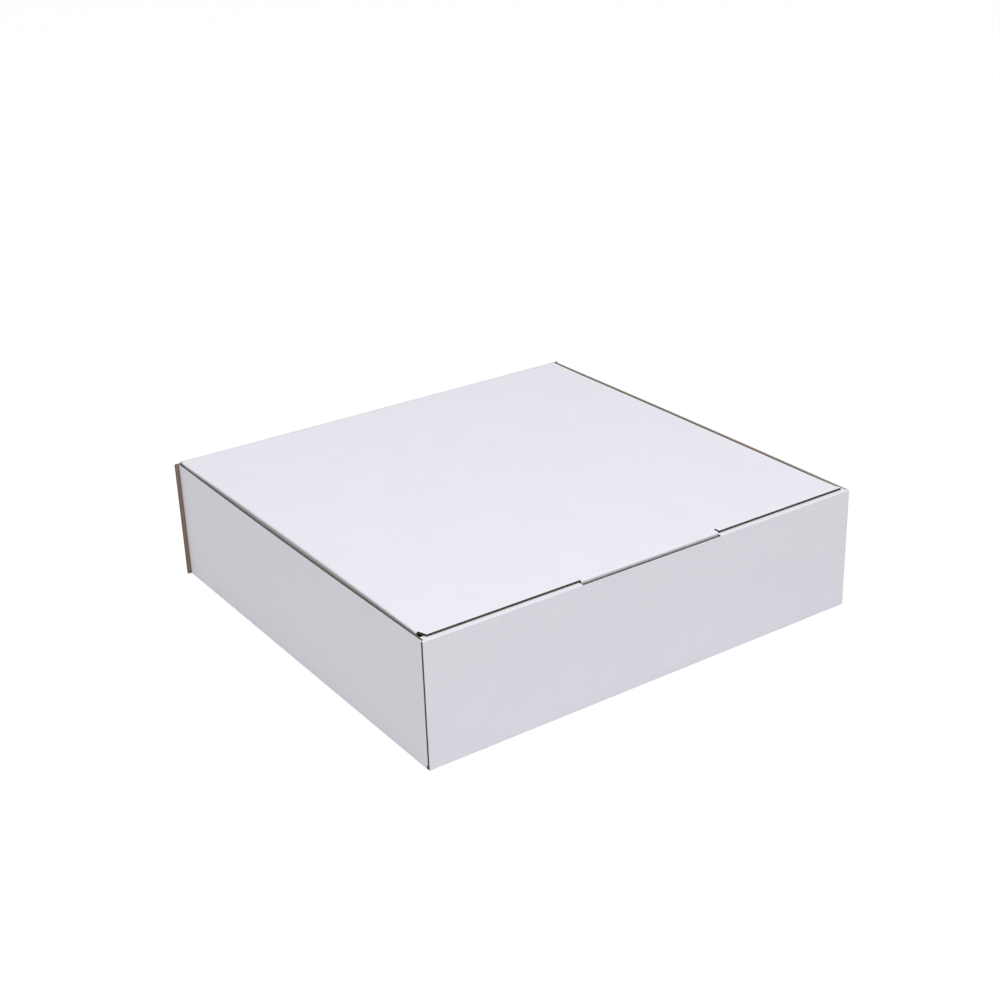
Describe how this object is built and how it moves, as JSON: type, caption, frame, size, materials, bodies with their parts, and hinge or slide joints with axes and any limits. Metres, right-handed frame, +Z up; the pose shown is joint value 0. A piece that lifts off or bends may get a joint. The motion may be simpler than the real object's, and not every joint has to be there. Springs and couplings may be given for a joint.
{
  "type": "die-cut mailing box",
  "caption": "Flat white die-cut mailing box of thin fluted board, with a hinged lid, dust flaps and a tuck tab that locks in the double front wall.",
  "frame": {"origin": "centre of the base's underside, where the closed box rests", "axes": "+Z up, +X along the width to the right seen from the front, -Y out of the front wall that the lid's tuck tab locks in"},
  "size_m": [0.3146, 0.3, 0.0822],
  "materials": {
    "tray_board": "white coated liner outside, brown kraft liner inside and at the raw edges",
    "lid_board": "white coated liner outside, brown kraft liner inside and at the raw edges"
  },
  "bodies": {
    "tray": {"tray": "tray_board"},
    "lid": {"lid": "lid_board"}
  },
  "joints": [
    {"name": "lid_hinge", "type": "hinge", "parent": "tray", "child": "lid", "pos_m": [0, 0.14845, 0.0794], "axis": [-1, 0, 0], "range_deg": [0, 180]}
  ]
}
